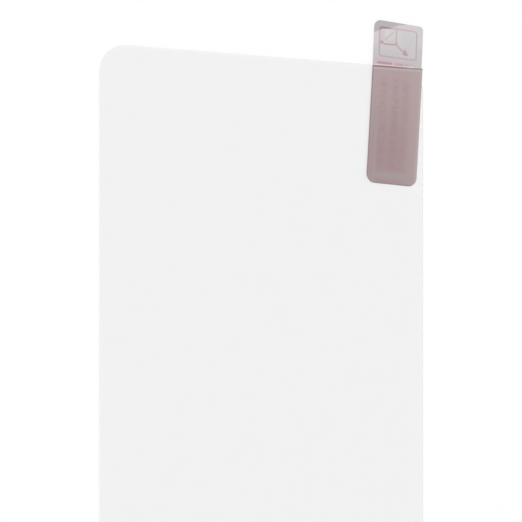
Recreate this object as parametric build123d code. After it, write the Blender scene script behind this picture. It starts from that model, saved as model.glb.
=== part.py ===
from build123d import *
import os
from math import cos, radians

# Phone screen protector, lying with its outer face down: a sheet of tempered glass, the release liner over
# its adhesive face, and a pull tab stuck on the liner. Millimetres, +Z up, +Y towards the tab's end.
# The origin is at the middle of the outer face.

# Sheet of tempered glass with its adhesive coat, cut for a 16:9 display of about 5.1 inches
SHEET_WIDTH = 64.0
SHEET_LENGTH = 114.0
SHEET_CORNER_RADIUS = 4.8
SHEET_THICKNESS = 0.4
# Straight band of the sheet's side that is left above its rounded outer rim
RIM_LAND = 0.1

# Release liner
LINER_THICKNESS = 0.1
# From the liner's edge to the sheet's
LINER_INSET = 0.15

# Pull tab: the part stuck on the liner
TAB_THICKNESS = 0.08
TAB_WIDTH = 10.9
TAB_STUCK_LENGTH = 22.75
TAB_STUCK_CORNER_RADIUS = 1.8
# From the tab's corner at the sheet's end to the sheet's long side
TAB_SIDE_MARGIN = 0.22
# Degrees by which the tab is stuck askew, its free end leaning to +X
TAB_LEAN = 3.6

# Pull tab: the free flag past the sheet's end
FLAG_LENGTH = 8.4
# Corners of its tip: the one away from the sheet's long side, and the one next to it
FLAG_CORNER_RADIUS = 1.45
FLAG_SIDE_CORNER_RADIUS = 0.75
# Step at the sheet's end by which the flag is narrower, on the side next to the sheet's long side
FLAG_SHOULDER = 0.25
# Radius of the upper face where the flag droops
FLAG_DROOP_RADIUS = 125.0

# Adhesive between one layer and the next
BOND_LINE = 0.02

# Heights and places that follow from the sizes above
LINER_BASE = SHEET_THICKNESS + BOND_LINE
TAB_BASE = LINER_BASE + LINER_THICKNESS + BOND_LINE
SHEET_END = SHEET_LENGTH / 2
TAB_MIDDLE = SHEET_WIDTH / 2 - TAB_SIDE_MARGIN - TAB_WIDTH / 2 / cos(radians(TAB_LEAN))


def make_sheet():
    """Glass sheet with rounded corners, its rim ground round towards the outer face."""
    outline = RectangleRounded(SHEET_WIDTH, SHEET_LENGTH, SHEET_CORNER_RADIUS)
    sheet = extrude(outline, SHEET_THICKNESS)
    outer_face = sheet.faces().sort_by(Axis.Z)[0]
    return fillet(outer_face.edges(), SHEET_THICKNESS - RIM_LAND)


def make_liner():
    """Film of the sheet's own outline, a little inside its edge, on the adhesive face."""
    width = SHEET_WIDTH - 2 * LINER_INSET
    length = SHEET_LENGTH - 2 * LINER_INSET
    outline = RectangleRounded(width, length, SHEET_CORNER_RADIUS - LINER_INSET)
    return Pos(0, 0, LINER_BASE) * extrude(outline, LINER_THICKNESS)


def make_tab():
    """Strip stuck askew near one corner: flat on the liner, and drooping past the sheet's end."""
    place = Pos(TAB_MIDDLE, SHEET_END, TAB_BASE) * Rot(0, 0, -TAB_LEAN)
    end_plane = Plane(origin=(0, SHEET_END, 0), z_dir=(0, 1, 0))

    stuck_outline = RectangleRounded(TAB_WIDTH, 2 * TAB_STUCK_LENGTH, TAB_STUCK_CORNER_RADIUS)
    stuck_strip = place * extrude(stuck_outline, TAB_THICKNESS)
    stuck_part = split(stuck_strip, end_plane, keep=Keep.BOTTOM)

    flag_place = place * Pos(-FLAG_SHOULDER / 2, 0, 0)
    flag_column = flag_place * extrude(make_flag_outline(), FLAG_LENGTH, both=True)
    flag = make_droop() & split(flag_column, end_plane, keep=Keep.TOP)
    return stuck_part + flag


def make_flag_outline():
    """Outline of the flag with its two tip corners, running on below its root so that it can be cut there."""
    half_width = (TAB_WIDTH - FLAG_SHOULDER) / 2
    outline = Rectangle(2 * half_width, 2 * FLAG_LENGTH)
    for across, radius in ((-half_width, FLAG_CORNER_RADIUS), (half_width, FLAG_SIDE_CORNER_RADIUS)):
        tip_corner = outline.vertices().sort_by_distance((across, FLAG_LENGTH, 0))[0]
        outline = fillet(tip_corner, radius)
    return outline


def make_droop():
    """Quarter of a thin tube that bends down from the tab's plane at the sheet's end, for the flag."""
    centre = (SHEET_END, TAB_BASE + TAB_THICKNESS - FLAG_DROOP_RADIUS)
    upper = CenterArc(centre, FLAG_DROOP_RADIUS, 0, 90)
    under = CenterArc(centre, FLAG_DROOP_RADIUS - TAB_THICKNESS, 0, 90)
    start = Line(upper @ 1, under @ 1)
    stop = Line(under @ 0, upper @ 0)
    section = Plane.YZ * make_face([upper, start, under, stop])
    return extrude(section, SHEET_WIDTH, both=True)


os.makedirs("parts", exist_ok=True)
export_step(make_sheet(), "parts/protector_sheet.step")
export_step(make_liner(), "parts/release_liner.step")
export_step(make_tab(), "parts/pull_tab.step")
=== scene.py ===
import logging
import math
from dataclasses import dataclass, field
from enum import Enum

import bmesh
import bpy
from mathutils import Matrix, Vector


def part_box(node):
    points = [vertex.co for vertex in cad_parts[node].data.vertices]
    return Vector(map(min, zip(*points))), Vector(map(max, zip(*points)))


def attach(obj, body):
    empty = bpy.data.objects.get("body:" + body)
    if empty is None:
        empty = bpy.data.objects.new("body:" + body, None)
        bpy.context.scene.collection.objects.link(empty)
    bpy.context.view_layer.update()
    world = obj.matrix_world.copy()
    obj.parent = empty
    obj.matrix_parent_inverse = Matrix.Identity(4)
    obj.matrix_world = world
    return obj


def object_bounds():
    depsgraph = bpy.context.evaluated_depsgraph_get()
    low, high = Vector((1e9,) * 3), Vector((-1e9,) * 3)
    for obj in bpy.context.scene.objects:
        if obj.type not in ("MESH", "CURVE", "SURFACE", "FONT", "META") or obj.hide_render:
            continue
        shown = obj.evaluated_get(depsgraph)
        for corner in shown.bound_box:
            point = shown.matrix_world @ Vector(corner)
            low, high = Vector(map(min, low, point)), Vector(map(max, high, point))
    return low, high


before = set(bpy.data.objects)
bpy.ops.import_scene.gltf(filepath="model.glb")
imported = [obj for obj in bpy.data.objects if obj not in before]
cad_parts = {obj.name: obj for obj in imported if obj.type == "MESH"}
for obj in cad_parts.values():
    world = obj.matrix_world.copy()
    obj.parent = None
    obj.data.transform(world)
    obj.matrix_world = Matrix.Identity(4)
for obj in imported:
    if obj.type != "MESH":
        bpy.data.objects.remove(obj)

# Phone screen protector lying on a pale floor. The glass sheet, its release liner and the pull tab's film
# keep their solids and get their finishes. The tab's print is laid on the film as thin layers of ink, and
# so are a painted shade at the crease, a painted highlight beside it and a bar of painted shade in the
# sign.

CAD_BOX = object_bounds()
BODY = "root"
MM = 0.001
TRIANGLE_LENGTH_IN_RADII = 1.5
LOG = logging.getLogger("screen_protector")

Colour = tuple[float, float, float, float]
Feed = float | bpy.types.NodeSocket
WHITE: Colour = (1.0, 1.0, 1.0, 1.0)
ORIGIN = Vector((0.0, 0.0, 0.0)).freeze()


class Solid(Enum):
    """The solids of the frame, by the names of their nodes."""

    SHEET = "protector_sheet"
    LINER = "release_liner"
    TAB = "pull_tab"

    @property
    def piece(self) -> bpy.types.Object:
        """The solid's object."""
        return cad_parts[self.value]

    @property
    def high(self) -> Vector:
        """Highest corner of the solid's box."""
        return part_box(self.value)[1]


class TabAxis(Enum):
    """The two directions of the pull tab, by their place in its own coordinates."""

    ACROSS = 0
    ALONG = 1


def shade(red: int, green: int, blue: int) -> Colour:
    """Gives the linear colour of a displayed one.

    Args:
        red: Red channel, from 0 to 255.
        green: Green channel, from 0 to 255.
        blue: Blue channel, from 0 to 255.

    Returns:
        The colour with full alpha, as the shader sockets take it.
    """
    channels = [value / 255 for value in (red, green, blue)]
    # The curve of a display: straight near black, and a power above that.
    linear = [c / 12.92 if c <= 0.04045 else ((c + 0.055) / 1.055) ** 2.4 for c in channels]
    return (*linear, 1.0)


@dataclass(frozen=True)
class TabPlace:
    """Where the pull tab lies: the sizes it was cut to, its margin at the sheet's side, and its lean."""

    width: float = 10.9 * MM
    stuck_length: float = 22.75 * MM
    stuck_corner: float = 1.8 * MM
    side_margin: float = 0.22 * MM
    lean: float = math.radians(3.6)

    @property
    def origin(self) -> Vector:
        """Point of the floor plan where the tab's middle line crosses the sheet's end."""
        middle = Solid.SHEET.high.x - self.side_margin - self.width / 2 / math.cos(self.lean)
        return Vector((middle, Solid.SHEET.high.y, 0.0))

    @property
    def end_slant(self) -> float:
        """How far the sheet's end climbs along the tab for each unit across it."""
        return math.tan(self.lean)

    @property
    def end_normal(self) -> Vector:
        """Direction out past the sheet's end, in the tab's own coordinates."""
        return Vector((-math.sin(self.lean), math.cos(self.lean), 0.0))

    def matrix(self, height: float) -> Matrix:
        """Turns the tab's own coordinates into the frame's, at a given height."""
        place = Matrix.Translation(self.origin + Vector((0.0, 0.0, height)))
        return place @ Matrix.Rotation(-self.lean, 4, "Z")


TAB_PLACE = TabPlace()


class NodeBoard:
    """A node tree, with short ways to add nodes and join them."""

    # Places of the colour sockets on a mix node.
    MIX_FIRST, MIX_SECOND, MIX_RESULT = 6, 7, 2

    def __init__(self, tree: bpy.types.NodeTree, output: str = "ShaderNodeOutputMaterial") -> None:
        """Takes over a tree and leaves only a new output in it.

        Args:
            tree: The node tree.
            output: Type of its output node.
        """
        tree.nodes.clear()
        self.tree = tree
        self.output = self.node(output)

    def node(self, kind: str, **settings: object) -> bpy.types.Node:
        """Adds a node.

        Args:
            kind: Type of the node.
            settings: Properties of the node, by name.

        Returns:
            The new node.
        """
        made = self.tree.nodes.new(kind)
        for name, value in settings.items():
            setattr(made, name, value)
        return made

    def feed(self, socket: bpy.types.NodeSocket, value: object) -> None:
        """Joins a socket to another one, or sets its value."""
        if isinstance(value, bpy.types.NodeSocket):
            self.tree.links.new(value, socket)
        else:
            socket.default_value = value

    def maths(self, operation: str, first: Feed, second: Feed = 0.0) -> bpy.types.NodeSocket:
        """Adds a sum of one or two values.

        Args:
            operation: Name of the sum.
            first: First value.
            second: Second value.

        Returns:
            The result.
        """
        made = self.node("ShaderNodeMath", operation=operation)
        self.feed(made.inputs[0], first)
        self.feed(made.inputs[1], second)
        return made.outputs[0]

    def fade(self, value: Feed, start: float, stop: float) -> bpy.types.NodeSocket:
        """Adds a soft step, 1 up to start and 0 from stop on.

        Args:
            value: Value that is compared.
            start: Where the fall begins.
            stop: Where the fall ends.

        Returns:
            The step's height.
        """
        made = self.node("ShaderNodeMapRange", interpolation_type="SMOOTHSTEP")
        ends = {"Value": value, "From Min": start, "From Max": stop, "To Min": 1.0, "To Max": 0.0}
        for name, end in ends.items():
            self.feed(made.inputs[name], end)
        return made.outputs["Result"]

    def tint(self, share: Feed, first: object, second: object) -> bpy.types.NodeSocket:
        """Adds a mix of two colours.

        Args:
            share: Share of the second colour.
            first: First colour.
            second: Second colour.

        Returns:
            The mixed colour.
        """
        made = self.node("ShaderNodeMix", data_type="RGBA")
        self.feed(made.inputs[0], share)
        self.feed(made.inputs[self.MIX_FIRST], first)
        self.feed(made.inputs[self.MIX_SECOND], second)
        return made.outputs[self.MIX_RESULT]

    def noise(self, place: bpy.types.NodeSocket, size: float, detail: float = 2.0) -> bpy.types.NodeSocket:
        """Adds a cloud pattern.

        Args:
            place: Coordinates that it is laid on.
            size: Size of one cloud in those coordinates.
            detail: Octaves of finer clouds.

        Returns:
            The pattern's value, about 0.5 on the whole.
        """
        made = self.node("ShaderNodeTexNoise")
        self.feed(made.inputs["Vector"], place)
        self.feed(made.inputs["Scale"], 1 / size)
        self.feed(made.inputs["Detail"], detail)
        return made.outputs["Fac"]

    def bump(self, height: bpy.types.NodeSocket, distance: float) -> bpy.types.NodeSocket:
        """Adds a relief.

        Args:
            height: Pattern that is raised.
            distance: Height of the relief in metres.

        Returns:
            The normal of the relief.
        """
        made = self.node("ShaderNodeBump")
        self.feed(made.inputs["Distance"], distance)
        self.feed(made.inputs["Height"], height)
        return made.outputs["Normal"]

    def blend(
        self, share: Feed, first: bpy.types.NodeSocket, second: bpy.types.NodeSocket
    ) -> bpy.types.NodeSocket:
        """Adds a mix of two shaders.

        Args:
            share: Share of the second shader.
            first: First shader.
            second: Second shader.

        Returns:
            The mixed shader.
        """
        made = self.node("ShaderNodeMixShader")
        for socket, value in zip(made.inputs, (share, first, second)):
            self.feed(socket, value)
        return made.outputs[0]

    def shader(self, kind: str, **inputs: object) -> bpy.types.NodeSocket:
        """Adds a shader.

        Args:
            kind: Type of the shader's node.
            inputs: What its sockets get, by name, with underscores for spaces.

        Returns:
            The shader's output.
        """
        made = self.node(kind)
        for name, value in inputs.items():
            self.feed(made.inputs[name.replace("_", " ")], value)
        return made.outputs[0]

    def split(self, vector: bpy.types.NodeSocket) -> list[bpy.types.NodeSocket]:
        """Adds the three parts of a vector."""
        made = self.node("ShaderNodeSeparateXYZ")
        self.feed(made.inputs[0], vector)
        return list(made.outputs)

    def mapping(
        self, vector: bpy.types.NodeSocket, place: Vector, turn: float, scale: tuple[float, float, float]
    ) -> bpy.types.NodeSocket:
        """Adds coordinates that are centred, turned and measured anew.

        Args:
            vector: Coordinates to start from.
            place: Where the new origin is.
            turn: Angle of the new axes about Z.
            scale: Length of the new units.

        Returns:
            The new coordinates.
        """
        made = self.node("ShaderNodeMapping", vector_type="TEXTURE")
        self.feed(made.inputs["Vector"], vector)
        self.feed(made.inputs["Location"], place)
        self.feed(made.inputs["Rotation"], (0.0, 0.0, turn))
        self.feed(made.inputs["Scale"], scale)
        return made.outputs["Vector"]

    def coordinates(self, kind: str = "Object") -> bpy.types.NodeSocket:
        """Adds coordinates of the piece, its own in metres unless another kind is named."""
        return self.node("ShaderNodeTexCoord").outputs[kind]

    def surface(self, shader: bpy.types.NodeSocket) -> None:
        """Joins a shader to the tree's output."""
        self.feed(self.output.inputs["Surface"], shader)


def material_board(name: str) -> tuple[bpy.types.Material, NodeBoard]:
    """Makes a material with an empty node tree.

    Args:
        name: Name of the material.

    Returns:
        The material and its board.
    """
    material = bpy.data.materials.new(name)
    material.use_nodes = True
    return material, NodeBoard(material.node_tree)


@dataclass(frozen=True)
class Band:
    """A soft-edged stripe of colour on the tab, in the tab's millimetres.

    The stripe keeps to one place on its axis. With a slant, that place moves by the slant for each
    millimetre of the other axis. A span is what it covers of the other axis, with soft ends. A broken
    stripe is lost here and there.
    """

    axis: TabAxis
    middle: float
    half_width: float
    soft: float
    colour: Colour
    strength: float = 1.0
    slant: float = 0.0
    broken: float = 0.0
    span: tuple[float, float] | None = None
    span_soft: float = 1.0

    def share(
        self, board: NodeBoard, axes: list[bpy.types.NodeSocket], lost: bpy.types.NodeSocket
    ) -> bpy.types.NodeSocket:
        """Builds the stripe's share of the colour.

        Args:
            board: Board of the material.
            axes: The tab's coordinates.
            lost: Pattern that breaks a stripe up.

        Returns:
            The share, from 0 beside the stripe to its strength in its middle.
        """
        own = axes[self.axis.value]
        other = axes[1 - self.axis.value]
        if self.slant:
            own = board.maths("SUBTRACT", own, board.maths("MULTIPLY", other, self.slant))
        away = board.maths("ABSOLUTE", board.maths("SUBTRACT", own, self.middle))
        share = board.fade(away, self.half_width, self.half_width + self.soft)
        share = board.maths("MULTIPLY", share, self.strength)
        if self.span:
            first, last = self.span
            share = board.maths("MULTIPLY", share, board.fade(other, first + self.span_soft, first))
            share = board.maths("MULTIPLY", share, board.fade(other, last - self.span_soft, last))
        if self.broken:
            kept = board.maths("SUBTRACT", 1.0, board.maths("MULTIPLY", lost, self.broken))
            share = board.maths("MULTIPLY", share, kept)
        return share


@dataclass(frozen=True)
class Halo:
    """A soft bleed of colour on both sides of a rectangle's outline, in the tab's millimetres."""

    across: float
    along: float
    half_width: float
    half_height: float
    reach: float
    soft: float
    colour: Colour
    strength: float = 1.0

    def share(
        self, board: NodeBoard, axes: list[bpy.types.NodeSocket], lost: bpy.types.NodeSocket
    ) -> bpy.types.NodeSocket:
        """Builds the bleed's share of the colour.

        Args:
            board: Board of the material.
            axes: The tab's coordinates.
            lost: Pattern that breaks a stripe up, which a bleed doesn't use.

        Returns:
            The share, from its strength on the outline to 0 away from it.
        """
        past = []
        for own, middle, half in zip(axes, (self.across, self.along), (self.half_width, self.half_height)):
            away = board.maths("ABSOLUTE", board.maths("SUBTRACT", own, middle))
            past.append(board.maths("SUBTRACT", away, half))
        distance = board.maths("ABSOLUTE", board.maths("MAXIMUM", *past))
        share = board.fade(distance, self.reach, self.reach + self.soft)
        return board.maths("MULTIPLY", share, self.strength)


@dataclass(frozen=True)
class TabColours:
    """Colours of one layer of the tab: a ground with stripes and bleeds laid over it in order."""

    ground: Colour
    bands: tuple[Band | Halo, ...]
    break_across: float = 1.6
    break_along: float = 0.6
    break_fade: tuple[float, float] = (0.35, 0.65)

    def lay(self, board: NodeBoard) -> bpy.types.NodeSocket:
        """Builds the colours.

        Args:
            board: Board of the material that gets them.

        Returns:
            The finished colour.
        """
        place = board.mapping(board.coordinates(), TAB_PLACE.origin, -TAB_PLACE.lean, (MM, MM, MM))
        stretched = board.mapping(place, ORIGIN, 0.0, (self.break_across, self.break_along, 1.0))
        lost = board.fade(board.noise(stretched, 1.0, detail=0.0), *self.break_fade)
        axes = board.split(place)
        colour: object = self.ground
        for band in self.bands:
            colour = board.tint(band.share(board, axes, lost), colour, band.colour)
        return colour


@dataclass(frozen=True)
class Gloss:
    """A mirror gloss on faint waves, which grows towards shallow angles as it does on glass."""

    share: float
    roughness: float
    wave_size: float
    wave_height: float
    growth: float = 5.0

    def over(self, board: NodeBoard, under: bpy.types.NodeSocket) -> bpy.types.NodeSocket:
        """Lays the gloss over a shader.

        Args:
            board: Board of the material.
            under: The shader.

        Returns:
            Both together.
        """
        waves = board.bump(board.noise(board.coordinates(), self.wave_size), self.wave_height)
        weight = board.node("ShaderNodeLayerWeight")
        board.feed(weight.inputs["Normal"], waves)
        steep = board.maths("POWER", weight.outputs["Facing"], self.growth)
        mirror = board.maths("ADD", board.maths("MULTIPLY", steep, 1 - self.share), self.share)
        shine = board.shader("ShaderNodeBsdfGlossy", Color=WHITE, Roughness=self.roughness, Normal=waves)
        return board.blend(mirror, under, shine)


@dataclass(frozen=True)
class ClearFinish:
    """Clear glass or film: see-through with a slight tint, glossy, and denser at its cut rim."""

    name: str
    tint: Colour
    gloss: Gloss
    rim: Colour
    rim_share: float
    rim_roughness: float = 0.25
    rim_fade: float = 0.3

    def material(self) -> bpy.types.Material:
        """Builds the material."""
        material, board = material_board(self.name)
        clear = board.shader("ShaderNodeBsdfTransparent", Color=self.tint)
        edge = board.shader("ShaderNodeBsdfPrincipled", Base_Color=self.rim, Roughness=self.rim_roughness)
        board.surface(board.blend(self.rim_mask(board), self.gloss.over(board, clear), edge))
        return material

    def rim_mask(self, board: NodeBoard) -> bpy.types.NodeSocket:
        """Builds the rim's share: its full share on upright faces, none on level ones."""
        height = board.maths("ABSOLUTE", board.split(board.coordinates("Normal"))[2])
        return board.maths("MULTIPLY", board.fade(height, 0.0, self.rim_fade), self.rim_share)


@dataclass(frozen=True)
class TabFinish:
    """The tab's milky film or a layer on it, print or painted shade or highlight: colour with a fine
    grain, and a varnish on the layers.
    """

    name: str
    colours: TabColours
    roughness: float
    varnish: float
    varnish_roughness: float = 0.15
    grain_size: float = 0.2 * MM
    grain_height: float = 0.003 * MM

    def material(self) -> bpy.types.Material:
        """Builds the material."""
        material, board = material_board(self.name)
        colour = self.colours.lay(board)
        grain = board.bump(board.noise(board.coordinates(), self.grain_size), self.grain_height)
        coated = board.shader(
            "ShaderNodeBsdfPrincipled",
            Base_Color=colour,
            Roughness=self.roughness,
            Coat_Weight=self.varnish,
            Coat_Roughness=self.varnish_roughness,
            Normal=grain,
        )
        board.surface(coated)
        return material


CLEAR_TINT: Colour = (0.9794, 0.9794, 0.9794, 1.0)

GLASS = ClearFinish(
    name="clear_tempered_glass",
    tint=CLEAR_TINT,
    gloss=Gloss(share=0.02, roughness=0.02, wave_size=30.0 * MM, wave_height=0.005 * MM),
    rim=shade(214, 224, 221),
    rim_share=0.4,
)

LINER = ClearFinish(
    name="clear_liner_film",
    tint=CLEAR_TINT,
    gloss=Gloss(share=0.02, roughness=0.06, wave_size=14.0 * MM, wave_height=0.012 * MM),
    rim=shade(226, 230, 230),
    rim_share=0.15,
)

# The bands below give their axis, middle, half width, soft edge and colour, in the tab's millimetres.
END_SLANT = TAB_PLACE.end_slant
# Grey of the painted shade on the flag's tip, widest at its left.
TIP_PAINTED_SHADE = shade(180, 178, 179)

TAB_FILM_WITH_PAINTED_TIP = TabFinish(
    name="milky_tab_film_painted_tip",
    colours=TabColours(
        ground=shade(209, 206, 206),
        bands=(
            # Round the sign: its bleed, and the pale corner that it marks off.
            Halo(
                across=-0.25,
                along=4.4,
                half_width=4.0,
                half_height=2.8,
                reach=0.3,
                soft=0.8,
                colour=shade(215, 202, 205),
                strength=0.75,
            ),
            Band(TabAxis.ALONG, 6.0, 0.9, 0.6, shade(217, 210, 209), strength=0.7, span=(-4.3, -1.4)),
            # The darker root, the right side, and bleeds beside the sign's lines.
            Band(TabAxis.ALONG, 0.0, 1.2, 4.5, shade(193, 189, 191), strength=0.85),
            Band(TabAxis.ALONG, 0.0, 0.7, 0.6, shade(200, 180, 184), strength=0.9, span=(-5.6, 4.2)),
            Band(TabAxis.ACROSS, 2.0, 0.8, 1.4, shade(201, 200, 200), strength=0.7, span=(1.2, 7.0)),
            Band(TabAxis.ACROSS, 5.0, 0.4, 1.0, shade(206, 200, 202), strength=0.55),
            Band(TabAxis.ACROSS, 5.0, 0.5, 1.0, shade(190, 188, 188), strength=0.5, span=(-0.5, 4.6)),
            Band(TabAxis.ACROSS, -3.75, 0.35, 0.5, shade(206, 188, 191), strength=0.6, span=(4.3, 7.0)),
            Band(TabAxis.ALONG, 4.55, 0.25, 0.5, shade(206, 190, 193), strength=0.4, span=(-4.8, -0.4)),
            Band(TabAxis.ACROSS, 1.75, 0.7, 0.6, shade(205, 190, 194), strength=0.6, span=(1.2, 4.3)),
            # The grey tip, which is painted shade, then the part under the colour field.
            Band(TabAxis.ALONG, 9.6, 1.35, 0.5, TIP_PAINTED_SHADE, slant=0.223),
            Band(TabAxis.ALONG, 9.35, 1.35, 0.5, TIP_PAINTED_SHADE, slant=0.223, span=(-7.0, 0.0)),
            Band(TabAxis.ALONG, 10.7, 2.0, 0.25, TIP_PAINTED_SHADE, slant=0.5, span=(-7.0, -3.7), span_soft=0.4),
            Band(TabAxis.ALONG, -12.25, 12.0, 0.1, shade(165, 142, 144), slant=END_SLANT),
        ),
    ),
    roughness=0.3,
    varnish=0.0,
    grain_size=1.1 * MM,
    grain_height=0.004 * MM,
)

COLUMN_COLOUR = shade(146, 120, 125)
# Place and strength of each faint column in the colour field.
COLUMNS = ((-2.85, 0.32), (-0.2, 0.32), (2.05, 0.24))
COLUMN_SPAN = (-20.8, -2.0)
LOW_GREY = shade(161, 150, 150)

FIELD_INK_WITH_PAINTED_EDGES = TabFinish(
    name="mauve_print_painted_edges",
    colours=TabColours(
        ground=shade(160, 136, 138),
        bands=(
            # Paler towards the crease and the right side, with faint broken columns.
            Band(TabAxis.ALONG, 0.0, 0.5, 17.0, shade(174, 152, 154)),
            Band(TabAxis.ACROSS, 5.5, 0.6, 4.0, shade(178, 159, 159), strength=0.55),
            *(
                Band(TabAxis.ACROSS, place, 0.25, 0.9, COLUMN_COLOUR, share, broken=0.7, span=COLUMN_SPAN)
                for place, share in COLUMNS
            ),
            # Greyer at the lower end and the left side, then the lines along the edges: a painted
            # highlight on the right edge, a faint paler line inside the left edge, painted shadow on the
            # left and lower edges, and a pale line under the crease.
            Band(TabAxis.ALONG, -21.1, 0.0, 1.4, LOW_GREY, strength=0.75, span=(-5.6, 5.2), span_soft=3.0),
            Band(TabAxis.ACROSS, -4.1, 0.2, 0.5, shade(162, 150, 149), strength=0.5, span=(-24.0, -9.0)),
            # Painted highlight along the right edge.
            Band(TabAxis.ACROSS, 5.4, 0.15, 0.6, shade(184, 171, 171), strength=0.6),
            Band(TabAxis.ACROSS, -5.0, 0.1, 0.3, shade(180, 160, 163), strength=0.2),
            # Painted shadow along the left and lower cut edges.
            Band(TabAxis.ACROSS, -5.42, 0.12, 0.14, shade(144, 126, 129)),
            Band(TabAxis.ALONG, -22.75, 0.15, 0.2, shade(147, 128, 131)),
            Band(TabAxis.ALONG, -0.55, 0.1, 0.25, shade(184, 175, 174), strength=0.7, slant=END_SLANT),
        ),
    ),
    roughness=0.42,
    varnish=0.2,
)

# Painted shade: a dark layer at the crease where the tab bends over the sheet's end, greyer to the right.
CREASE_PAINTED_SHADE = TabFinish(
    name="crease_painted_shade",
    colours=TabColours(
        ground=shade(138, 118, 121),
        bands=(Band(TabAxis.ACROSS, 4.0, 0.8, 3.5, shade(154, 142, 142)),),
    ),
    roughness=0.45,
    varnish=0.1,
)

SIGN_INK_AND_PAINTED_SHADE = TabFinish(
    name="peel_sign_print_and_shade",
    colours=TabColours(
        ground=shade(188, 170, 174),
        bands=(
            # The upper part, the level line, the right line, the lower left line, and the bar's painted
            # shade.
            Band(TabAxis.ALONG, 7.4, 1.0, 3.0, shade(198, 181, 185)),
            Band(TabAxis.ALONG, 4.05, 0.4, 0.2, shade(188, 158, 165), span=(-4.6, 0.4)),
            Band(TabAxis.ACROSS, 3.9, 0.3, 0.8, shade(184, 175, 178), span=(-1.0, 7.4)),
            Band(TabAxis.ACROSS, -4.3, 0.3, 0.2, shade(182, 172, 174), span=(1.6, 3.9)),
            # Painted shade over the bar and the upper line's left part.
            Band(TabAxis.ALONG, 8.0, 1.2, 0.25, shade(156, 141, 144), slant=0.05, span=(-6.0, -1.3)),
        ),
    ),
    roughness=0.45,
    varnish=0.15,
)

ARROW_INK = TabFinish(
    name="peel_arrow_print",
    colours=TabColours(
        ground=shade(182, 168, 172),
        bands=(
            # The arrow's head, the stroke in the marked corner, and the joint.
            Band(TabAxis.ACROSS, 2.4, 1.2, 0.3, shade(177, 155, 163)),
            Band(TabAxis.ACROSS, -3.0, 1.9, 0.3, shade(194, 190, 188)),
            Band(TabAxis.ACROSS, -0.2, 0.2, 0.1, shade(212, 184, 189), span=(3.85, 4.45), span_soft=0.1),
        ),
    ),
    roughness=0.45,
    varnish=0.15,
)

DASH_INK = TabFinish(
    name="root_dash_print",
    colours=TabColours(
        ground=shade(177, 146, 153),
        bands=(
            # The second dash, then the third.
            Band(TabAxis.ACROSS, 1.0, 1.8, 0.2, shade(194, 158, 168)),
            Band(TabAxis.ACROSS, 2.2, 0.7, 0.1, shade(188, 170, 174)),
        ),
    ),
    roughness=0.45,
    varnish=0.15,
)

# Painted highlight: a pale pinkish line where the film bends over the sheet's end, whiter at both ends.
CREASE_PAINTED_HIGHLIGHT = TabFinish(
    name="root_painted_highlight",
    colours=TabColours(
        ground=shade(228, 194, 200),
        bands=(
            # Whiter at both ends.
            Band(TabAxis.ACROSS, 3.2, 1.6, 0.8, shade(222, 216, 215)),
            Band(TabAxis.ACROSS, -5.4, 0.8, 0.6, shade(226, 212, 213)),
        ),
    ),
    roughness=0.35,
    varnish=0.2,
)


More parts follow.
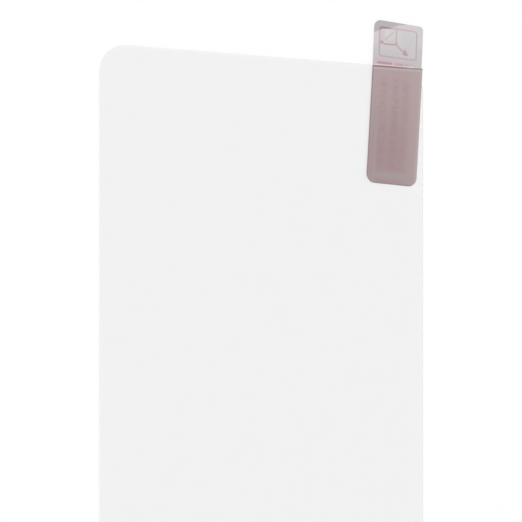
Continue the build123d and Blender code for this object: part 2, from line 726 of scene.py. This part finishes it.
class Bench:
    """Modelling steps, each done on one object as by hand."""

    @staticmethod
    def only(piece: bpy.types.Object) -> None:
        """Selects one object and makes it active."""
        bpy.ops.object.select_all(action="DESELECT")
        piece.select_set(True)
        bpy.context.view_layer.objects.active = piece

    @classmethod
    def settle(cls, piece: bpy.types.Object, place: Vector = ORIGIN, turn: float = 0.0) -> None:
        """Turns a piece about the origin, moves it, and puts its place into its mesh.

        Args:
            piece: The piece, already at the origin.
            place: How far it moves.
            turn: Angle by which it is turned first.
        """
        cls.only(piece)
        piece.location = place
        piece.rotation_euler = (0.0, 0.0, turn)
        bpy.ops.object.transform_apply(location=True, rotation=True, scale=True)

    @classmethod
    def plate(cls, left: float, right: float, low: float, high: float) -> bpy.types.Object:
        """Adds a level plate between two sides and two ends.

        Args:
            left: Place of its left side.
            right: Place of its right side.
            low: Place of its lower end.
            high: Place of its upper end.

        Returns:
            The plate, with its place in its mesh.
        """
        bpy.ops.object.select_all(action="DESELECT")
        bpy.ops.mesh.primitive_plane_add(size=1.0)
        piece = bpy.context.active_object
        piece.scale = (right - left, high - low, 1.0)
        cls.settle(piece, Vector(((left + right) / 2, (low + high) / 2, 0.0)))
        return piece

    @classmethod
    def disc(
        cls, middle: Vector, radius: float, sides: int, turn: float = 0.0, narrow: float = 1.0
    ) -> bpy.types.Object:
        """Adds a level disc, or a plate of few sides.

        Args:
            middle: Its middle.
            radius: From its middle to its corners.
            sides: Number of its sides.
            turn: Angle by which it is turned.
            narrow: Share of its width that is left, before it is turned.

        Returns:
            The disc, with its place in its mesh.
        """
        bpy.ops.object.select_all(action="DESELECT")
        bpy.ops.mesh.primitive_circle_add(vertices=sides, radius=radius, fill_type="NGON")
        piece = bpy.context.active_object
        piece.scale = (narrow, 1.0, 1.0)
        cls.settle(piece, middle, turn)
        return piece

    @classmethod
    def round_corners(
        cls, piece: bpy.types.Object, radius: float, below: float = math.inf, segments: int = 8
    ) -> None:
        """Rounds the corners of a plate.

        Args:
            piece: The plate.
            radius: Radius of the corners.
            below: Only corners lower than this are rounded.
            segments: Facets of each corner.
        """
        cls.only(piece)
        bpy.ops.object.mode_set(mode="EDIT")
        bpy.ops.mesh.select_mode(type="VERT")
        mesh = bmesh.from_edit_mesh(piece.data)
        for corner in mesh.verts:
            corner.select_set(corner.co.y < below)
        mesh.select_flush_mode()
        bmesh.update_edit_mesh(piece.data)
        bpy.ops.mesh.bevel(offset=radius, segments=segments, affect="VERTICES")
        bpy.ops.object.mode_set(mode="OBJECT")

    @classmethod
    def hollow(cls, piece: bpy.types.Object, line: float) -> None:
        """Leaves only a line along the outline of a plate.

        Args:
            piece: The plate.
            line: Width of the line.
        """
        cls.only(piece)
        bpy.ops.object.mode_set(mode="EDIT")
        bpy.ops.mesh.select_mode(type="FACE")
        bpy.ops.mesh.select_all(action="SELECT")
        bpy.ops.mesh.inset(thickness=line, depth=0.0)
        bpy.ops.mesh.delete(type="FACE")
        bpy.ops.object.mode_set(mode="OBJECT")

    @classmethod
    def trim(cls, piece: bpy.types.Object, point: Vector, outward: Vector) -> None:
        """Cuts off what lies past a line.

        Args:
            piece: The plate.
            point: A point of the line.
            outward: Direction to the side that is cut off.
        """
        cls.only(piece)
        bpy.ops.object.mode_set(mode="EDIT")
        bpy.ops.mesh.select_all(action="SELECT")
        bpy.ops.mesh.bisect(plane_co=point, plane_no=outward, clear_outer=True)
        bpy.ops.object.mode_set(mode="OBJECT")

    @classmethod
    def slice_along(cls, piece: bpy.types.Object, step: float) -> None:
        """Cuts a plate across at even steps, so that it can follow a bend.

        Args:
            piece: The plate.
            step: Distance from cut to cut.
        """
        heights = [corner.co.y for corner in piece.data.vertices]
        low, high = min(heights), max(heights)
        cls.only(piece)
        bpy.ops.object.mode_set(mode="EDIT")
        for count in range(1, math.ceil((high - low) / step)):
            bpy.ops.mesh.select_all(action="SELECT")
            bpy.ops.mesh.bisect(plane_co=(0.0, low + count * step, 0.0), plane_no=(0.0, 1.0, 0.0))
        bpy.ops.object.mode_set(mode="OBJECT")

    @classmethod
    def join(cls, pieces: list[bpy.types.Object]) -> bpy.types.Object:
        """Joins pieces into the first of them and gives it back."""
        cls.only(pieces[0])
        for piece in pieces:
            piece.select_set(True)
        bpy.ops.object.join()
        return pieces[0]

    @classmethod
    def apply(cls, piece: bpy.types.Object, kind: str, **settings: object) -> None:
        """Adds a modifier and applies it.

        Args:
            piece: Piece that gets it.
            kind: Type of the modifier.
            settings: Properties of the modifier, by name.
        """
        cls.only(piece)
        modifier = piece.modifiers.new(kind.lower(), kind)
        for name, value in settings.items():
            setattr(modifier, name, value)
        bpy.ops.object.modifier_apply(modifier=modifier.name)

    @staticmethod
    def paint(piece: bpy.types.Object, finish: ClearFinish | TabFinish) -> bpy.types.Object:
        """Gives a piece its finish in place of any other, and gives the piece back."""
        piece.data.materials.clear()
        piece.data.materials.append(finish.material())
        return piece


@dataclass
class ClearLayer:
    """A clear solid of the frame that keeps its shape and gets its finish."""

    solid: Solid
    finish: ClearFinish

    def dress(self) -> bpy.types.Object:
        """Gives the solid its material."""
        return Bench.paint(self.solid.piece, self.finish)


@dataclass
class PeelSign:
    """The sign on the flag: a sheet with its corner marked off, and an arrow that peels the corner away.

    Places are measured from the sign's middle, which lies on the tab at middle.
    """

    middle: Vector = field(default_factory=lambda: Vector((-0.25, 4.38, 0.0)) * MM)
    turn: float = math.radians(0.8)
    left: float = 4.13 * MM
    right: float = 4.25 * MM
    half_height: float = 2.94 * MM
    corner: float = 0.65 * MM
    line: float = 0.3 * MM
    upright_across: float = -0.35 * MM
    level_along: float = -0.3 * MM
    level_drop: float = 0.16 * MM
    dot_across: float = -3.45 * MM
    dot_radius: float = 0.36 * MM
    shade_bar_length: float = 1.9 * MM
    shade_bar_thickness: float = 0.28 * MM
    shade_bar_climb: float = 0.17
    joint: Vector = field(default_factory=lambda: Vector((0.05, -0.26, 0.0)) * MM)
    joint_radius: float = 0.2 * MM
    arrow_tail: Vector = field(default_factory=lambda: Vector((-0.15, -0.55, 0.0)) * MM)
    arrow_tip: Vector = field(default_factory=lambda: Vector((2.36, -2.2, 0.0)) * MM)
    head_length: float = 1.3 * MM
    head_narrow: float = 0.88
    head_sides: int = 3
    disc_sides: int = 16
    stroke_tail: Vector = field(default_factory=lambda: Vector((-2.8, 0.45, 0.0)) * MM)
    stroke_tip: Vector = field(default_factory=lambda: Vector((-1.1, 1.95, 0.0)) * MM)

    def line_between(self, start: Vector, stop: Vector) -> bpy.types.Object:
        """Models a straight line of the sign.

        Args:
            start: Middle of its one end.
            stop: Middle of its other end.

        Returns:
            The line as a flat plate.
        """
        run = stop - start
        piece = Bench.plate(0.0, run.length, -self.line / 2, self.line / 2)
        Bench.settle(piece, start, math.atan2(run.y, run.x))
        return piece

    def frame(self) -> bpy.types.Object:
        """Models the sheet with its marked corner and a bar of painted shade, flat and in the tab's own
        coordinates.
        """
        half = self.line / 2
        inner_top = self.half_height - self.line
        border = Bench.plate(-self.left, self.right, -self.half_height, self.half_height)
        Bench.round_corners(border, self.corner)
        Bench.hollow(border, self.line)
        across, along = self.upright_across, self.level_along
        upright = Bench.plate(across - half, across + half, along - half, inner_top)
        level_start = Vector((self.dot_across + self.dot_radius, along - self.level_drop, 0.0))
        level = self.line_between(level_start, Vector((across - half, along, 0.0)))
        dot = Bench.disc(Vector((self.dot_across, along + half, 0.0)), self.dot_radius, self.disc_sides)
        # The bar is painted shade: a dark wedge under the upper line, thickest at its left end.
        bar_start = self.line - self.left
        bar_low = inner_top - self.shade_bar_thickness
        bar = Bench.plate(bar_start, bar_start + self.shade_bar_length, bar_low, inner_top)
        Bench.trim(bar, Vector((bar_start, bar_low, 0.0)), Vector((self.shade_bar_climb, -1.0, 0.0)))
        piece = Bench.join([border, upright, level, dot, bar])
        Bench.settle(piece, self.middle, self.turn)
        return piece

    def arrow(self) -> bpy.types.Object:
        """Models the arrow, its joint and the stroke in the marked corner, as the frame is modelled."""
        ahead = (self.arrow_tip - self.arrow_tail).normalized()
        shaft = self.line_between(self.arrow_tail, self.arrow_tip - ahead * self.head_length)
        radius = self.head_length / TRIANGLE_LENGTH_IN_RADII
        turn = math.atan2(ahead.y, ahead.x) - math.pi / 2
        head = Bench.disc(self.arrow_tip - ahead * radius, radius, self.head_sides, turn, self.head_narrow)
        joint = Bench.disc(self.joint, self.joint_radius, self.disc_sides)
        stroke = self.line_between(self.stroke_tail, self.stroke_tip)
        piece = Bench.join([shaft, head, joint, stroke])
        Bench.settle(piece, self.middle, self.turn)
        return piece


@dataclass
class PullTab:
    """The printed pull tab: its film is the frame's solid, and its print, with painted shade and a painted
    highlight, is laid on the film.
    """

    ink: float = 0.008 * MM
    ink_gap: float = 0.003 * MM
    slice_step: float = 0.3 * MM
    drop_height: float = 1.0 * MM
    print_margin: float = 0.05 * MM
    crease_low: float = -0.38 * MM
    crease_high: float = -0.06 * MM
    dash_sides: tuple[tuple[float, float], ...] = (
        (-4.5 * MM, -1.3 * MM),
        (-0.7 * MM, 1.2 * MM),
        (1.5 * MM, 2.4 * MM),
    )
    dash_low: float = 0.17 * MM
    dash_high: float = 0.56 * MM
    dash_corner: float = 0.12 * MM
    dash_turn: float = math.radians(1.8)
    glint_sides: tuple[float, float] = (-5.3 * MM, 3.5 * MM)
    glint_high: float = 0.13 * MM
    sign: PeelSign = field(default_factory=PeelSign)

    def dress(self) -> bpy.types.Object:
        """Gives the film its material."""
        return Bench.paint(Solid.TAB.piece, TAB_FILM_WITH_PAINTED_TIP)

    def build(self) -> list[bpy.types.Object]:
        """Builds the print, with the painted shade and highlight at the crease, layer by layer."""
        layers = {
            "tab_field": (self.colour_field(), FIELD_INK_WITH_PAINTED_EDGES),
            "tab_crease_shade": (self.crease(), CREASE_PAINTED_SHADE),
            "peel_frame": (self.sign.frame(), SIGN_INK_AND_PAINTED_SHADE),
            "peel_arrow": (self.sign.arrow(), ARROW_INK),
            "root_dashes": (self.dashes(), DASH_INK),
            "root_glint": (self.glint(), CREASE_PAINTED_HIGHLIGHT),
        }
        return [self.lay_down(name, *layer) for name, layer in layers.items()]

    @property
    def print_half(self) -> float:
        """Half of the print's width over the part that is stuck down."""
        return TAB_PLACE.width / 2 - self.print_margin

    def colour_field(self) -> bpy.types.Object:
        """Models the colour field over the part that is stuck down, up to the crease."""
        low = self.print_margin - TAB_PLACE.stuck_length
        piece = Bench.plate(-self.print_half, self.print_half, low, TAB_PLACE.width)
        Bench.round_corners(piece, TAB_PLACE.stuck_corner - self.print_margin, below=0.0)
        Bench.trim(piece, TAB_PLACE.end_normal * self.crease_low, TAB_PLACE.end_normal)
        return piece

    def crease(self) -> bpy.types.Object:
        """Models the painted shade of the crease where the tab bends over the sheet's end, as a dark
        layer.
        """
        return self.strip(-self.print_half, self.print_half, self.crease_low, self.crease_high)

    def dashes(self) -> bpy.types.Object:
        """Models the broken line of print at the flag's root."""
        dashes = [Bench.plate(*sides, self.dash_low, self.dash_high) for sides in self.dash_sides]
        for dash in dashes:
            Bench.round_corners(dash, self.dash_corner)
        piece = Bench.join(dashes)
        Bench.settle(piece, turn=self.dash_turn)
        return piece

    def glint(self) -> bpy.types.Object:
        """Models the painted highlight, a pale line between the crease and the broken line."""
        return self.strip(*self.glint_sides, self.crease_high, self.glint_high)

    @staticmethod
    def strip(left: float, right: float, low: float, high: float) -> bpy.types.Object:
        """Models a strip that runs along the sheet's end.

        Args:
            left: Place of its left side across the tab.
            right: Place of its right side across the tab.
            low: Its lower edge, measured out past the sheet's end.
            high: Its upper edge, measured likewise.

        Returns:
            The strip in the tab's own coordinates.
        """
        piece = Bench.plate(left, right, -TAB_PLACE.width, TAB_PLACE.width)
        Bench.trim(piece, TAB_PLACE.end_normal * high, TAB_PLACE.end_normal)
        Bench.trim(piece, TAB_PLACE.end_normal * low, -TAB_PLACE.end_normal)
        return piece

    def lay_down(self, name: str, piece: bpy.types.Object, finish: TabFinish) -> bpy.types.Object:
        """Lays a flat print on the tab's upper face and gives it the thickness of ink.

        Args:
            name: Name of the finished piece.
            piece: Flat print, painted shade or painted highlight, in the tab's own coordinates.
            finish: Its ink, or the finish of its painted shade or highlight.

        Returns:
            The finished piece.
        """
        Bench.slice_along(piece, self.slice_step)
        piece.data.transform(TAB_PLACE.matrix(Solid.TAB.high.z + self.drop_height))
        Bench.apply(
            piece,
            "SHRINKWRAP",
            target=Solid.TAB.piece,
            wrap_method="PROJECT",
            use_project_z=True,
            use_positive_direction=False,
            use_negative_direction=True,
            offset=self.ink_gap,
        )
        Bench.apply(piece, "SOLIDIFY", thickness=self.ink, offset=1.0)
        piece.name = name
        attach(piece, BODY)
        return Bench.paint(piece, finish)


@dataclass
class Studio:
    """The plain pale floor, the soft lamps and the pale surroundings."""

    floor_size: float = 14.0
    floor_drop: float = 0.03 * MM
    floor_colour: Colour = shade(232, 232, 232)
    own_white: float = 0.85
    lamp_size: float = 0.7
    key_place: Vector = field(default_factory=lambda: Vector((-0.3, 0.35, 0.95)))
    key_power: float = 4.1
    fill_place: Vector = field(default_factory=lambda: Vector((0.1, -0.8, 0.7)))
    fill_power: float = 1.3
    sky_light: float = 0.63
    horizon: float = 0.80
    white_height: float = 0.6

    def build(self) -> None:
        """Builds the floor, the lamps and the surroundings."""
        self.floor()
        self.lamp("key_softbox", self.key_place, self.key_power)
        self.lamp("fill_softbox", self.fill_place, self.fill_power)
        self.surroundings()
        bpy.context.scene.view_settings.view_transform = "Standard"

    @staticmethod
    def seen(board: NodeBoard) -> bpy.types.NodeSocket:
        """Builds the switch for what is seen, straight, mirrored or through glass."""
        rays = board.node("ShaderNodeLightPath").outputs
        mirrored = board.maths("MAXIMUM", rays["Is Glossy Ray"], rays["Is Transmission Ray"])
        return board.maths("MAXIMUM", rays["Is Camera Ray"], mirrored)

    def floor(self) -> None:
        """Lays the floor under the sheet, white where it is seen and with the shadows on it."""
        half = self.floor_size / 2
        plate = Bench.plate(-half, half, -half, half)
        Bench.settle(plate, Vector((0.0, 0.0, CAD_BOX[0].z - self.floor_drop)))
        plate.name = "floor"
        material, board = material_board("pale_floor")
        plain = board.shader("ShaderNodeBsdfDiffuse", Color=self.floor_colour)
        white = board.shader("ShaderNodeBsdfDiffuse", Color=WHITE)
        glow = board.shader("ShaderNodeEmission", Color=WHITE, Strength=1.0)
        shown = board.blend(self.own_white, white, glow)
        board.surface(board.blend(self.seen(board), plain, shown))
        plate.data.materials.append(material)

    def lamp(self, name: str, place: Vector, power: float) -> None:
        """Hangs a square soft lamp that looks at the middle of the part.

        Args:
            name: Name of the lamp.
            place: Where it hangs.
            power: Its power in watts.
        """
        bpy.ops.object.select_all(action="DESELECT")
        bpy.ops.object.light_add(type="AREA", location=place)
        lamp = bpy.context.active_object
        lamp.name = name
        lamp.rotation_euler = (-place).to_track_quat("-Z", "Y").to_euler()
        lamp.data.shape = "SQUARE"
        lamp.data.size = self.lamp_size
        lamp.data.energy = power

    def surroundings(self) -> None:
        """Makes the surroundings: pale at the horizon and white overhead."""
        world = bpy.data.worlds.new("pale_studio")
        world.use_nodes = True
        bpy.context.scene.world = world
        board = NodeBoard(world.node_tree, "ShaderNodeOutputWorld")
        height = board.split(board.coordinates("Generated"))[2]
        pale = (self.horizon, self.horizon, self.horizon, 1.0)
        sky = board.tint(board.fade(height, 0.0, self.white_height), WHITE, pale)
        light = board.shader("ShaderNodeBackground", Color=WHITE, Strength=self.sky_light)
        view = board.shader("ShaderNodeBackground", Color=sky, Strength=1.0)
        board.surface(board.blend(self.seen(board), light, view))


@dataclass
class PhotoCamera:
    """The camera: above the sheet, turned about the sheet's length towards its left side."""

    turn: float = math.radians(22.45)
    distance: float = 194.0 * MM
    lens: float = 73.58
    aim_across: float = -2.008 * MM
    aim_along: float = 19.681 * MM
    clip: float = 0.01

    def build(self) -> None:
        """Places the camera and makes it the scene's."""
        aim = Vector((self.aim_across, self.aim_along, Solid.SHEET.high.z))
        back = Vector((-math.sin(self.turn), 0.0, math.cos(self.turn)))
        bpy.ops.object.select_all(action="DESELECT")
        bpy.ops.object.camera_add(location=aim + back * self.distance, rotation=(0.0, -self.turn, 0.0))
        camera = bpy.context.active_object
        camera.data.lens = self.lens
        camera.data.clip_start = self.clip
        bpy.context.scene.camera = camera


def main() -> None:
    """Dresses the solids, prints the tab and sets the stage."""
    logging.basicConfig(level=logging.INFO, format="%(name)s: %(message)s")
    for layer in (ClearLayer(Solid.SHEET, GLASS), ClearLayer(Solid.LINER, LINER)):
        LOG.info("dressed %s", layer.dress().name)
    tab = PullTab()
    LOG.info("dressed %s", tab.dress().name)
    for piece in tab.build():
        LOG.info("built %s with %d faces", piece.name, len(piece.data.polygons))
    Studio().build()
    PhotoCamera().build()


if __name__ == "__main__":
    main()
